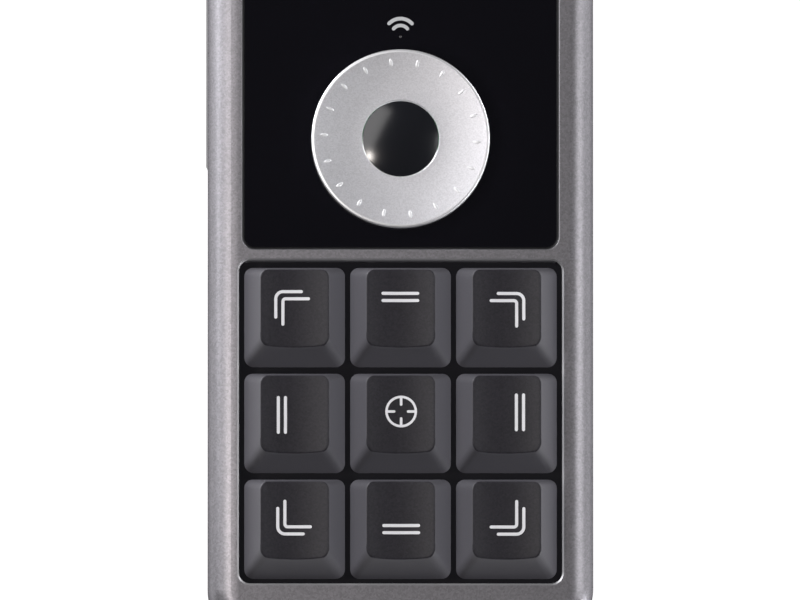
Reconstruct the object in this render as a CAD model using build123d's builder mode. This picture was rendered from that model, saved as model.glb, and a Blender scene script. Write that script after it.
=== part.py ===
"""A desk keypad with one dial and nine mechanical keys, as an assembly of separate pieces.

The frame is the keypad's own: +X to the right, +Y towards the dial's end, +Z up, with the origin
under the middle of the body, on the surface that the keypad stands on. All sizes are millimetres.
"""

import os

from build123d import *

os.makedirs("parts", exist_ok=True)

# ---------------------------------------------------------------- driving dimensions
key_pitch = 19.05  # the standard spacing of mechanical keys
key_columns = 3
key_rows = 3

body_width = 69.4
body_length = 126.0
body_corner = 8.0
edge_round = 4.2  # the rounding of the frame's upper edge
wall = 2.2

# Heights above the surface that the keypad stands on.
cover_bottom = 0.8
cover_floor = 2.2
parting = 3.2  # where the frame meets the bottom cover
board_bottom = 4.0
board_top = 5.6
plate_bottom = 9.1
plate_top = 10.6
control_bottom = 8.0
control_top = 9.2
deck_bottom = 14.2
deck_top = 16.0
shell_roof = 15.6  # the underside of the frame's top, outside the deck
frame_top = 18.0

# The window for the gloss panel, and the well for the keys.
window_width = 57.2
window_length = 47.8
window_middle = 29.95
window_slope = 0.5  # how far the window's sloping side leans in
window_depth = 0.9
window_edge_round = 0.12
window_corner = 2.4
well_width = 58.15
well_length = 58.15
well_middle = -24.9
well_wall = 1.2
well_chamfer = 0.33
well_corner = 2.0
keys_middle = -25.2

# The dial.
dial_middle = 26.0
dial_radius = 16.05
dial_bottom = 18.0
dial_rim = 21.0
dial_chamfer = 0.6
dial_bore = 6.95
dish_floor = 19.9
hub_radius = 9.5
hub_bore = 7.15
hub_bottom = 11.8
mark_count = 18
mark_radius = 13.8

running_clearance = 0.05
overlap = 0.2  # how far one feature of a piece runs into another


def keep(piece, name):
    """Labels a finished piece and writes its STEP file."""
    piece.part.label = name
    export_step(piece.part, f"parts/{name}.step")


def rounded_plate(height, width, length, radius, middle=(0, 0)):
    """A rounded rectangle at a height, as a sketch to extrude."""
    with BuildSketch(Plane.XY.offset(height)) as outline:
        with Locations(middle):
            RectangleRounded(width, length, radius)
    return outline.sketch


def discs(height, radius, places):
    """Round spots of one radius at a height, as a sketch to extrude."""
    with BuildSketch(Plane.XY.offset(height)) as spots:
        with Locations(*places):
            Circle(radius)
    return spots.sketch


# ---------------------------------------------------------------- fasteners' places
case_screw_places = [(x, y) for x in (-28.0, 28.0) for y in (-57.4, 57.4)]
plate_screw_places = [(x, -57.9) for x in (-15.0, 15.0)] + [(x, 8.3) for x in (-27.0, 0.0, 27.0)]
control_screw_places = [(x, y) for x in (-22.0, 22.0) for y in (15.0, 56.6)]
boss_radius = 2.0
case_boss_radius = 2.6
case_boss_bottom = 4.2
screw_radius = 1.0
screw_head_radius = 1.9
screw_head_height = 1.2
screw_clearance = 0.1
pilot_clearance = 0.05

# ---------------------------------------------------------------- the side rocker's place
rocker_middle = 37.15
rocker_length = 32.4
rocker_height = 5.0
rocker_level = 8.5
rocker_standout = 0.28
rocker_gap = 0.15
rocker_pin_x = -30.7
rocker_pin_radius = 0.75
rocker_lug_radius = 1.7

# ---------------------------------------------------------------- the end wall's openings
port_level = control_top + 1.6
port_width = 9.6
port_height = 3.8
slider_x = 13.8
slider_travel = 2.4
slider_level = 10.8
nub_width = 2.6
slot_length = nub_width + slider_travel + 0.4
slot_height = 1.8


# ---------------------------------------------------------------- the frame
side = body_width / 2
end = body_length / 2
cavity_width = body_width - 2 * wall
cavity_length = body_length - 2 * wall
cavity_corner = body_corner - wall
pocket_width = window_width - 2 * window_slope
pocket_length = window_length - 2 * window_slope
pocket_corner = window_corner - window_slope
deck_hole = 11.3
deck_margin = 1.5
pin_bottom = 4.4
pin_top = 12.6
bracket_height = 1.3
bracket_reach = 3.6
bracket_width = 5.0
post_bottom = 5.5
post_places = [(-27.0, rocker_middle + step) for step in (-15.8, 15.8)]
post_width = 1.6
post_length = 2.4

with BuildPart() as top_frame:
    # The outer shell with its rounded upper edge.
    extrude(rounded_plate(parting, body_width, body_length, body_corner), amount=frame_top - parting)
    fillet(top_frame.faces().sort_by(Axis.Z)[-1].edges(), edge_round)
    extrude(
        rounded_plate(parting, cavity_width, cavity_length, cavity_corner),
        amount=shell_roof - parting,
        mode=Mode.SUBTRACT,
    )
    # The deck that carries the gloss panel, and the walls of the key well.
    extrude(
        rounded_plate(
            deck_bottom,
            window_width + 2 * deck_margin,
            window_length + 2 * deck_margin,
            window_corner + deck_margin,
            (0, window_middle),
        ),
        amount=shell_roof - deck_bottom,
    )
    extrude(
        rounded_plate(
            plate_top,
            well_width + 2 * well_wall,
            well_length + 2 * well_wall,
            well_corner + well_wall,
            (0, well_middle),
        ),
        amount=shell_roof - plate_top,
    )
    # Bosses that hang from the deck and the roof.
    for places, radius, bottom in (
        (case_screw_places, case_boss_radius, case_boss_bottom),
        (plate_screw_places, boss_radius, plate_top),
        (control_screw_places, boss_radius, control_top),
    ):
        extrude(discs(bottom, radius, places), amount=shell_roof - bottom + overlap)
    # Brackets for the rocker's pin, and posts that its board is fixed to.
    for low in (pin_bottom, pin_top - bracket_height):
        with BuildSketch(Plane.XY.offset(low)):
            with Locations((-side + wall, rocker_middle)):
                Rectangle(bracket_reach, bracket_width, align=(Align.MIN, Align.CENTER))
        extrude(amount=bracket_height)
    with BuildSketch(Plane.XY.offset(post_bottom)):
        with Locations(*post_places):
            Rectangle(post_width, post_length)
    extrude(amount=shell_roof - post_bottom)
    # The window: a straight pocket for the panel, then sides that slope out to the top face.
    extrude(
        rounded_plate(deck_top, pocket_width, pocket_length, pocket_corner, (0, window_middle)),
        amount=frame_top - deck_top,
        mode=Mode.SUBTRACT,
    )
    with BuildSketch(Plane.XY.offset(frame_top - window_depth)):
        with Locations((0, window_middle)):
            RectangleRounded(pocket_width, pocket_length, pocket_corner)
    with BuildSketch(Plane.XY.offset(frame_top)):
        with Locations((0, window_middle)):
            RectangleRounded(window_width, window_length, window_corner)
    loft(ruled=True, mode=Mode.SUBTRACT)
    # The key well, with a chamfer around its mouth.
    extrude(
        rounded_plate(parting, well_width, well_length, well_corner, (0, well_middle)),
        amount=frame_top - parting,
        mode=Mode.SUBTRACT,
    )
    top_face = top_frame.faces().filter_by(Plane.XY).sort_by(Axis.Z)[-1]
    fillet(top_face.inner_wires().sort_by(Axis.Y)[-1].edges(), window_edge_round)
    top_face = top_frame.faces().filter_by(Plane.XY).sort_by(Axis.Z)[-1]
    chamfer(top_face.inner_wires().sort_by(Axis.Y)[0].edges(), well_chamfer)
    # The dial's hole through the deck.
    extrude(
        discs(deck_bottom, deck_hole, [(0, dial_middle)]),
        amount=deck_top - deck_bottom,
        mode=Mode.SUBTRACT,
    )
    # Pilot holes up into the bosses.
    for places, bottom, depth in (
        (case_screw_places, case_boss_bottom, 7.0),
        (plate_screw_places, plate_top, 3.4),
        (control_screw_places, control_top, 4.0),
    ):
        extrude(
            discs(bottom, screw_radius + pilot_clearance, places), amount=depth, mode=Mode.SUBTRACT
        )
    # The rocker's slot in the left side, and its pin's hole.
    with BuildSketch(Plane.YZ.offset(-side)):
        with Locations((rocker_middle, rocker_level)):
            Rectangle(rocker_length + 2 * rocker_gap, rocker_height + 2 * rocker_gap)
    extrude(amount=wall, mode=Mode.SUBTRACT)
    extrude(
        discs(pin_bottom, rocker_pin_radius, [(rocker_pin_x, rocker_middle)]),
        amount=pin_top - pin_bottom,
        mode=Mode.SUBTRACT,
    )
    # The charging port's and the power slider's openings in the far end.
    with BuildSketch(Plane.XZ.offset(-end)):
        with Locations((0, port_level)):
            SlotOverall(port_width, port_height)
        with Locations((slider_x + slider_travel / 2, slider_level)):
            Rectangle(slot_length, slot_height)
    extrude(amount=wall, mode=Mode.SUBTRACT)
keep(top_frame, "top_frame")


# ---------------------------------------------------------------- the bottom cover
foot_places = [(x, y) for x in (-24.0, 24.0) for y in (-48.0, 48.0)]
foot_radius = 5.0
foot_recess = 0.4
foot_clearance = 0.1
foot_round = 0.4
cover_edge_round = 1.0
cover_rim = 1.3
cover_clearance = 3.0  # around the rocker
seat_margin = 0.3
seat_depth = 1.4
lip_clearance = 0.1
lip_wall = 1.2
lip_top = 5.0
support_radius = 1.5
support_places = [(x, y) for x in (-28.6, 28.6) for y in (-15.5, -34.6)]

with BuildPart() as bottom_cover:
    extrude(rounded_plate(cover_bottom, body_width, body_length, body_corner), amount=parting - cover_bottom)
    fillet(bottom_cover.faces().sort_by(Axis.Z)[0].edges(), cover_edge_round)
    extrude(
        rounded_plate(
            cover_floor,
            cavity_width - 2 * cover_rim,
            cavity_length - 2 * cover_rim,
            cavity_corner - cover_rim,
        ),
        amount=parting - cover_floor,
        mode=Mode.SUBTRACT,
    )
    # The lip that stands inside the frame's wall.
    with BuildSketch(Plane.XY.offset(parting)):
        RectangleRounded(
            cavity_width - 2 * lip_clearance, cavity_length - 2 * lip_clearance, cavity_corner - lip_clearance
        )
        RectangleRounded(
            cavity_width - 2 * (lip_clearance + lip_wall),
            cavity_length - 2 * (lip_clearance + lip_wall),
            cavity_corner - lip_clearance - lip_wall,
            mode=Mode.SUBTRACT,
        )
    extrude(amount=lip_top - parting)
    # The lip stops short of the rocker, and of the posts' screw bosses.
    with BuildSketch(Plane.XY.offset(parting)):
        with Locations((-side + wall, rocker_middle)):
            Rectangle(2 * cover_clearance, rocker_length + 2 * cover_clearance)
    extrude(amount=lip_top - parting, mode=Mode.SUBTRACT)
    extrude(
        discs(parting, case_boss_radius + seat_margin, case_screw_places),
        amount=lip_top - parting,
        mode=Mode.SUBTRACT,
    )
    # Seats for the case screws, supports under the main board, and recesses for the feet.
    extrude(
        discs(cover_floor, case_boss_radius + seat_margin, case_screw_places),
        amount=case_boss_bottom - cover_floor,
    )
    extrude(discs(cover_floor, support_radius, support_places), amount=board_bottom - cover_floor)
    extrude(
        discs(cover_bottom, foot_radius + foot_clearance, foot_places), amount=foot_recess, mode=Mode.SUBTRACT
    )
    with Locations(*[Location((x, y, cover_bottom), (180, 0, 0)) for x, y in case_screw_places]):
        CounterBoreHole(
            screw_radius + screw_clearance,
            screw_head_radius + 2 * screw_clearance,
            seat_depth,
            case_boss_bottom - cover_bottom,
        )
keep(bottom_cover, "bottom_cover")

with BuildPart() as rubber_feet:
    extrude(discs(0, foot_radius, foot_places), amount=cover_bottom + foot_recess)
    fillet(rubber_feet.faces().group_by(Axis.Z)[0].edges(), foot_round)
keep(rubber_feet, "rubber_feet")


# ---------------------------------------------------------------- screws
recess_depth = 0.5
recess_length = 2.0
recess_width = 0.5
case_screw_length = 7.5
board_screw_length = 4.5


def make_screws(groups):
    """Pan-head screws: each group is places, the height under the head, and the shank's length."""
    with BuildPart() as screws:
        for places, seat, length in groups:
            extrude(discs(seat, screw_radius, places), amount=length)
            extrude(discs(seat - screw_head_height, screw_head_radius, places), amount=screw_head_height)
            # A cross recess in the head.
            with BuildSketch(Plane.XY.offset(seat - screw_head_height)):
                with Locations(*places):
                    Rectangle(recess_length, recess_width)
                    Rectangle(recess_width, recess_length)
            extrude(amount=recess_depth, mode=Mode.SUBTRACT)
    return screws


case_screws = make_screws([(case_screw_places, cover_bottom + seat_depth, case_screw_length)])
keep(case_screws, "case_screws")
board_screws = make_screws(
    [
        (plate_screw_places, plate_bottom, board_screw_length),
        (control_screw_places, control_bottom, board_screw_length),
    ]
)
keep(board_screws, "board_screws")


# ---------------------------------------------------------------- the gloss panel
panel_gap = 0.1
panel_top = frame_top - window_depth
panel_hole = 11.2

with BuildPart() as front_panel:
    extrude(
        rounded_plate(
            deck_top,
            pocket_width - 2 * panel_gap,
            pocket_length - 2 * panel_gap,
            pocket_corner - panel_gap,
            (0, window_middle),
        ),
        amount=panel_top - deck_top,
    )
    extrude(
        discs(deck_top, panel_hole, [(0, dial_middle)]), amount=panel_top - deck_top, mode=Mode.SUBTRACT
    )
keep(front_panel, "front_panel")


# ---------------------------------------------------------------- the dial and what carries it
dial_axis_plane = Plane(origin=(0, dial_middle, 0), x_dir=(1, 0, 0), z_dir=(0, -1, 0))
dial_axis = Axis((0, dial_middle, 0), (0, 0, 1))
groove_low = 12.3
groove_high = 12.9
groove_radius = 9.0
rim_radius = dial_radius - dial_chamfer
dish_middle = ((rim_radius + dial_bore) / 2, dish_floor + (dial_rim - dish_floor) / 4)
bore_step = 18.2  # where the bore widens into the hub
bore_taper = 0.2
mark_length = 1.4
mark_width = 0.5
mark_rise = 0.16
mark_sink = 0.4
first_mark = 90 - 12.7  # degrees

with BuildPart() as dial_ring:
    with BuildSketch(dial_axis_plane):
        with BuildLine():
            Polyline(
                (dial_bore, dish_floor),
                (dial_bore, bore_step + bore_taper),
                (hub_bore, bore_step),
                (hub_bore, hub_bottom),
                (hub_radius, hub_bottom),
                (hub_radius, groove_low),
                (groove_radius, groove_low),
                (groove_radius, groove_high),
                (hub_radius, groove_high),
                (hub_radius, dial_bottom),
                (dial_radius, dial_bottom),
                (dial_radius, dial_rim - dial_chamfer),
                (rim_radius, dial_rim),
            )
            ThreePointArc((rim_radius, dial_rim), dish_middle, (dial_bore, dish_floor))
        make_face()
    revolve(axis=dial_axis)
    # Small raised marks around the dish, half sunk into it.
    mark_share = (mark_radius - dial_bore) / (rim_radius - dial_bore)
    mark_level = dish_floor + (dial_rim - dish_floor) * mark_share**2
    with BuildSketch(Plane.XY.offset(mark_level - mark_sink)):
        with Locations((0, dial_middle)):
            with PolarLocations(mark_radius, mark_count, start_angle=first_mark):
                SlotOverall(mark_length, mark_width)
    extrude(amount=mark_sink + mark_rise)
keep(dial_ring, "dial_ring")

bush_flange_radius = 14.0
bush_bottom = 13.0
bush_top = dial_bottom - 0.1
bush_radius = deck_hole - 0.2

with BuildPart() as dial_bush:
    with BuildSketch(dial_axis_plane):
        with BuildLine():
            Polyline(
                (hub_radius + running_clearance, bush_bottom),
                (bush_flange_radius, bush_bottom),
                (bush_flange_radius, deck_bottom),
                (bush_radius, deck_bottom),
                (bush_radius, bush_top),
                (hub_radius + running_clearance, bush_top),
                close=True,
            )
        make_face()
    revolve(axis=dial_axis)
keep(dial_bush, "dial_bush")

clip_width = 1.6
clip_gap = 9.0
with BuildPart() as dial_clip:
    with BuildSketch(Plane.XY.offset(groove_low)):
        with Locations((0, dial_middle)):
            Circle(groove_radius + clip_width)
            Circle(groove_radius, mode=Mode.SUBTRACT)
        with Locations((0, dial_middle - groove_radius)):
            Rectangle(clip_gap, 4 * clip_width, mode=Mode.SUBTRACT)
    extrude(amount=groove_high - groove_low)
keep(dial_clip, "dial_clip")

magnet_height = 1.0
magnet_radius = 10.1
magnet_bore = 7.25
with BuildPart() as encoder_magnet:
    with BuildSketch(Plane.XY.offset(hub_bottom - magnet_height)):
        with Locations((0, dial_middle)):
            Circle(magnet_radius)
            Circle(magnet_bore, mode=Mode.SUBTRACT)
    extrude(amount=magnet_height)
keep(encoder_magnet, "encoder_magnet")

guide_radius = 6.8
guide_bore = 5.0
guide_chamber = 6.1
guide_top = 17.4
shoulder = 14.2
with BuildPart() as button_guide:
    with BuildSketch(dial_axis_plane):
        with BuildLine():
            Polyline(
                (guide_chamber, control_top),
                (guide_radius, control_top),
                (guide_radius, guide_top),
                (guide_bore, guide_top),
                (guide_bore, shoulder),
                (guide_chamber, shoulder),
                close=True,
            )
        make_face()
    revolve(axis=dial_axis)
keep(button_guide, "button_guide")

cap_radius = 6.75
cap_edge = 19.7
cap_crown = 20.75
cap_underside = 18.6
cap_rise = cap_crown - cap_edge
cap_sphere = (cap_radius**2 + cap_rise**2) / (2 * cap_rise)
cap_foot = 13.5
cap_foot_radius = guide_chamber - 0.3
cap_neck_radius = guide_bore - 0.1
with BuildPart() as dial_cap:
    with BuildSketch(dial_axis_plane):
        with BuildLine():
            Polyline(
                (0, cap_crown),
                (0, cap_foot),
                (cap_foot_radius, cap_foot),
                (cap_foot_radius, shoulder - 0.1),
                (cap_neck_radius, shoulder - 0.1),
                (cap_neck_radius, cap_underside),
                (cap_radius, cap_underside),
                (cap_radius, cap_edge),
            )
            RadiusArc((cap_radius, cap_edge), (0, cap_crown), -cap_sphere)
        make_face()
    revolve(axis=dial_axis)
keep(dial_cap, "dial_cap")

tact_size = 6.0
tact_height = 3.4
tact_corner = 0.4
plunger_radius = 1.7
plunger_height = 0.3
with BuildPart() as button_switch:
    extrude(
        rounded_plate(control_top, tact_size, tact_size, tact_corner, (0, dial_middle)), amount=tact_height
    )
    extrude(discs(control_top + tact_height, plunger_radius, [(0, dial_middle)]), amount=plunger_height)
keep(button_switch, "button_switch")


# ---------------------------------------------------------------- boards and battery
board_corner = 1.0
control_width = 49.0
control_length = 47.3
control_middle = 36.25
chip_height = 0.9
chip_corner = 0.2
with BuildPart() as control_board:
    extrude(
        rounded_plate(control_bottom, control_width, control_length, board_corner, (0, control_middle)),
        amount=control_top - control_bottom,
    )
    extrude(
        discs(control_bottom, screw_radius + screw_clearance, control_screw_places),
        amount=control_top - control_bottom,
        mode=Mode.SUBTRACT,
    )
    # The sensor that reads the magnet, and the radio and charging chips.
    for chip_place, chip_size in (((8.8, dial_middle), 3.0), ((-17.0, 47.0), 6.0), ((17.0, 47.5), 4.0)):
        extrude(rounded_plate(control_top, chip_size, chip_size, chip_corner, chip_place), amount=chip_height)
keep(control_board, "control_board")


def key_place(column, row):
    """The middle of a key, with column 0 on the left and row 0 next to the dial."""
    return (
        (column - (key_columns - 1) / 2) * key_pitch,
        keys_middle - (row - (key_rows - 1) / 2) * key_pitch,
    )


key_places = [key_place(column, row) for row in range(key_rows) for column in range(key_columns)]
key_names = [f"{row + 1}{column + 1}" for row in range(key_rows) for column in range(key_columns)]
switch_size = 14.0
switch_clearance = 0.05
switch_post_radius = 2.0
post_clearance = 0.1
main_width = 62.0
main_length = 64.4
main_middle = -22.0
plate_width = 63.6
plate_length = 65.0
plate_middle = -21.9
tongue_width = 44.0
tongue_length = 12.0
tongue_middle = -54.4

with BuildPart() as main_board:
    extrude(
        rounded_plate(board_bottom, main_width, main_length, board_corner, (0, main_middle)),
        amount=board_top - board_bottom,
    )
    extrude(
        discs(board_bottom, switch_post_radius + post_clearance, key_places),
        amount=board_top - board_bottom,
        mode=Mode.SUBTRACT,
    )
keep(main_board, "main_board")

with BuildPart() as switch_plate:
    # The plate, and a tongue at the near end between the case's two screw bosses.
    for width, length, middle in (
        (plate_width, plate_length, plate_middle),
        (tongue_width, tongue_length, tongue_middle),
    ):
        extrude(
            rounded_plate(plate_bottom, width, length, board_corner, (0, middle)),
            amount=plate_top - plate_bottom,
        )
    with BuildSketch(Plane.XY.offset(plate_bottom)):
        with Locations(*key_places):
            Rectangle(switch_size + switch_clearance, switch_size + switch_clearance)
        with Locations(*plate_screw_places):
            Circle(screw_radius + screw_clearance)
    extrude(amount=plate_top - plate_bottom, mode=Mode.SUBTRACT)
keep(switch_plate, "switch_plate")

battery_width = 38.0
battery_length = 34.0
battery_thickness = 4.6
battery_corner = 2.5
battery_round = 0.8
battery_middle = 33.5
with BuildPart() as battery:
    extrude(
        rounded_plate(cover_floor, battery_width, battery_length, battery_corner, (0, battery_middle)),
        amount=battery_thickness,
    )
    fillet(battery.edges().group_by(Axis.Z)[-1], battery_round)
keep(battery, "battery")

ribbon_thickness = 0.3
ribbon_width = 12.0
ribbon_bend = 0.5
ribbon_low = board_top + ribbon_thickness / 2
ribbon_high = control_bottom - ribbon_thickness / 2
with BuildPart() as board_ribbon:
    # From the top of the main board to the underside of the control board.
    with BuildSketch(Plane.YZ.offset(-ribbon_width / 2)):
        with BuildLine():
            FilletPolyline(
                (6.0, ribbon_low),
                (11.5, ribbon_low),
                (12.5, ribbon_high),
                (15.5, ribbon_high),
                radius=ribbon_bend,
            )
            offset(amount=ribbon_thickness / 2, side=Side.BOTH)
        make_face()
    extrude(amount=ribbon_width)
keep(board_ribbon, "board_ribbon")


# ---------------------------------------------------------------- the far end: port and power slider
port_depth = 7.3
port_shell_width = 8.94
port_shell_height = 3.2
shell_thickness = 0.3
port_back = 1.0
tongue_setback = 0.8
port_tongue_width = 6.7
port_tongue_height = 0.7
port_mouth = Plane.XZ.offset(-(end - 0.3))
with BuildPart() as usb_socket:
    with BuildSketch(port_mouth):
        with Locations((0, port_level)):
            SlotOverall(port_shell_width, port_shell_height)
    extrude(amount=port_depth)
    with BuildSketch(port_mouth):
        with Locations((0, port_level)):
            SlotOverall(port_shell_width - 2 * shell_thickness, port_shell_height - 2 * shell_thickness)
    extrude(amount=port_depth - port_back, mode=Mode.SUBTRACT)
    with BuildSketch(port_mouth.offset(tongue_setback)):
        with Locations((0, port_level)):
            Rectangle(port_tongue_width, port_tongue_height)
    extrude(amount=port_depth - port_back - tongue_setback + overlap)
keep(usb_socket, "usb_socket")

power_width = 9.0
power_depth = 3.4
power_height = 3.2
power_corner = 0.3
power_place = (slider_x + slider_travel / 2, 58.1)
with BuildPart() as power_switch:
    extrude(
        rounded_plate(control_top, power_width, power_depth, power_corner, power_place), amount=power_height
    )
keep(power_switch, "power_switch")

slider_gap = 0.1
slider_width = 8.0
slider_height = 2.8
slider_thickness = 0.8
ridge_depth = 0.3
nub_face = end - slider_gap
with BuildPart() as power_slider:
    with BuildSketch(Plane.XZ.offset(-(end - wall - slider_gap))):
        with Locations((slider_x, slider_level)):
            Rectangle(slider_width, slider_height)
    extrude(amount=slider_thickness)
    with BuildSketch(Plane.XZ.offset(-nub_face)):
        with Locations((slider_x, slider_level)):
            Rectangle(nub_width, slot_height - 0.3)
    extrude(amount=wall + overlap)
    # Grip grooves in the nub's outer face.
    with BuildSketch(Plane.XZ.offset(-nub_face)):
        with Locations(*[(slider_x + step, slider_level) for step in (-0.8, 0.0, 0.8)]):
            Rectangle(ridge_depth, slot_height)
    extrude(amount=ridge_depth, mode=Mode.SUBTRACT)
keep(power_slider, "power_slider")


# ---------------------------------------------------------------- the side rocker
flange_x = -side + wall + 0.6
flange_thickness = 0.7
flange_lip = 0.8
pip_radius = 1.0
pip_height = 0.6
pip_places = [(rocker_middle + step, rocker_level) for step in (-11.0, 11.0)]
lug_height = 5.4
lug_bottom = rocker_level - lug_height / 2
rocker_face = -side - rocker_standout
with BuildPart() as side_rocker:
    # The bar that shows in the slot, with its ends chamfered.
    with BuildSketch(Plane.YZ.offset(rocker_face)):
        with Locations((rocker_middle, rocker_level)):
            Rectangle(rocker_length, rocker_height)
    extrude(amount=flange_x - rocker_face)
    chamfer(side_rocker.faces().sort_by(Axis.X)[0].edges(), rocker_standout, rocker_standout * 1.6)
    # The flange behind the wall, the pips that press the switches, and the pin's lug.
    with BuildSketch(Plane.YZ.offset(flange_x)):
        with Locations((rocker_middle, rocker_level)):
            Rectangle(rocker_length + 2 * flange_lip, rocker_height + flange_lip / 2)
    extrude(amount=flange_thickness)
    with BuildSketch(Plane.YZ.offset(flange_x + flange_thickness)):
        with Locations(*pip_places):
            Circle(pip_radius)
    extrude(amount=pip_height)
    pin_place = [(rocker_pin_x, rocker_middle)]
    extrude(discs(lug_bottom, rocker_lug_radius, pin_place), amount=lug_height)
    extrude(
        discs(lug_bottom, rocker_pin_radius + running_clearance, pin_place),
        amount=lug_height,
        mode=Mode.SUBTRACT,
    )
keep(side_rocker, "side_rocker")

with BuildPart() as rocker_pin:
    extrude(discs(pin_bottom, rocker_pin_radius, pin_place), amount=pin_top - pin_bottom)
keep(rocker_pin, "rocker_pin")

rocker_board_x = -28.6
rocker_board_length = 34.4
rocker_board_height = 6.0
rocker_board_thickness = 0.8
pip_switch_size = 3.5
pip_switch_height = 1.5
with BuildPart() as rocker_board:
    with BuildSketch(Plane.YZ.offset(rocker_board_x)):
        with Locations((rocker_middle, rocker_level)):
            Rectangle(rocker_board_length, rocker_board_height)
    extrude(amount=rocker_board_thickness)
    with BuildSketch(Plane.YZ.offset(rocker_board_x - pip_switch_height)):
        with Locations(*pip_places):
            Rectangle(pip_switch_size, pip_switch_size)
    extrude(amount=pip_switch_height)
keep(rocker_board, "rocker_board")


# ---------------------------------------------------------------- the keys
housing_top = 17.2
housing_flange = 15.6
flange_height = 0.8
housing_foot = 14.4
housing_head_x, housing_head_y = 10.4, 10.6
housing_corner = 0.8
chamber_x, chamber_y = 9.2, 6.4
chamber_top = 14.1
spring_seat = 6.6
pole_well = 4.6
post_end = cover_floor + 0.4
window_x, window_y = 7.4, 5.9
block_x, block_y = 7.0, 5.5
block_bottom = 12.2
wing_x, wing_y = 8.8, 4.0
wing_top = 14.0
stem_top = 20.8
cross_arm, cross_width = 4.0, 1.25
spring_roof = 15.2
pole_radius = 1.1
pole_clearance = 0.2
pole_bottom = 9.0
spring_radius = 1.85
spring_wire = 0.15
spring_turns = 6
spring_inset = 0.25
spring_room = 0.5

keycap_bottom = 17.0
keycap_base = 18.2
keycap_base_corner = 1.4
keycap_top_width = 12.3
keycap_top_depth = 13.9
keycap_top_corner = 1.3
keycap_crest = 25.4  # the height of the dish's two side edges
keycap_back_inset = 0.55
keycap_top_shift = keycap_base / 2 - keycap_back_inset - keycap_top_depth / 2
dish_radius = 20.0
dish_depth = 0.97
dish_edge_round = 0.3
crest_excess = 0.5  # the sides run on this far before the dish is cut
keycap_wall = 1.4
keycap_top_wall = 0.9
keycap_roof = 1.6
keycap_hollow_share = 0.8  # how much of the top's shift the hollow follows
keycap_inner_corner = 0.8
socket_radius = 2.7
socket_clearance = 0.04


def make_switch(place):
    """A switch's two-part plastic housing: the base in the plate, and the upper housing over it."""
    here = Plane(origin=(*place, 0))
    with BuildPart() as switch:
        # The base with its post through the board.
        with BuildSketch(here.offset(board_top)):
            Rectangle(switch_size, switch_size)
        extrude(amount=plate_top - board_top)
        with BuildSketch(here.offset(post_end)):
            Circle(switch_post_radius)
        extrude(amount=board_top - post_end)
        # The flange on the plate, and the upper housing that narrows to the stem's window.
        with BuildSketch(here.offset(plate_top)):
            Rectangle(housing_flange, housing_flange)
        extrude(amount=flange_height)
        with BuildSketch(here.offset(plate_top + flange_height)):
            RectangleRounded(housing_foot, housing_foot, housing_corner)
        with BuildSketch(here.offset(housing_top)):
            RectangleRounded(housing_head_x, housing_head_y, housing_corner)
        loft(ruled=True)
        # The chamber that the stem's wings slide in, its window, and the post's hole.
        with BuildSketch(here.offset(spring_seat)):
            Rectangle(chamber_x, chamber_y)
        extrude(amount=chamber_top - spring_seat, mode=Mode.SUBTRACT)
        with BuildSketch(here.offset(chamber_top)):
            Rectangle(window_x, window_y)
        extrude(amount=housing_top - chamber_top, mode=Mode.SUBTRACT)
        with BuildSketch(here.offset(pole_well)):
            Circle(pole_radius + pole_clearance)
        extrude(amount=spring_seat - pole_well, mode=Mode.SUBTRACT)
    return switch


def make_stem(place):
    """A switch's sliding stem: block, wings, cross and pole."""
    here = Plane(origin=(*place, 0))
    with BuildPart() as stem:
        with BuildSketch(here.offset(block_bottom)):
            Rectangle(block_x, block_y)
        extrude(amount=housing_top - block_bottom)
        with BuildSketch(here.offset(block_bottom)):
            Rectangle(wing_x, wing_y)
        extrude(amount=wing_top - block_bottom)
        with BuildSketch(here.offset(housing_top)):
            Rectangle(cross_arm, cross_width)
            Rectangle(cross_width, cross_arm)
        extrude(amount=stem_top - housing_top)
        with BuildSketch(here.offset(block_bottom)):
            Circle(spring_radius + spring_room)
        extrude(amount=spring_roof - block_bottom, mode=Mode.SUBTRACT)
        with BuildSketch(here.offset(pole_bottom)):
            Circle(pole_radius)
        extrude(amount=spring_roof - pole_bottom + overlap)
    return stem


def make_spring(place):
    """A switch's coil spring, at rest under the stem."""
    foot = Plane(origin=(*place, spring_seat + spring_inset))
    length = spring_roof - spring_seat - 2 * spring_inset
    with BuildPart() as spring:
        with BuildLine(foot):
            coil = Helix(pitch=length / spring_turns, height=length, radius=spring_radius)
        with BuildSketch(Plane(origin=coil @ 0, z_dir=coil % 0)):
            Circle(spring_wire)
        sweep(path=coil)
    return spring


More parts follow.
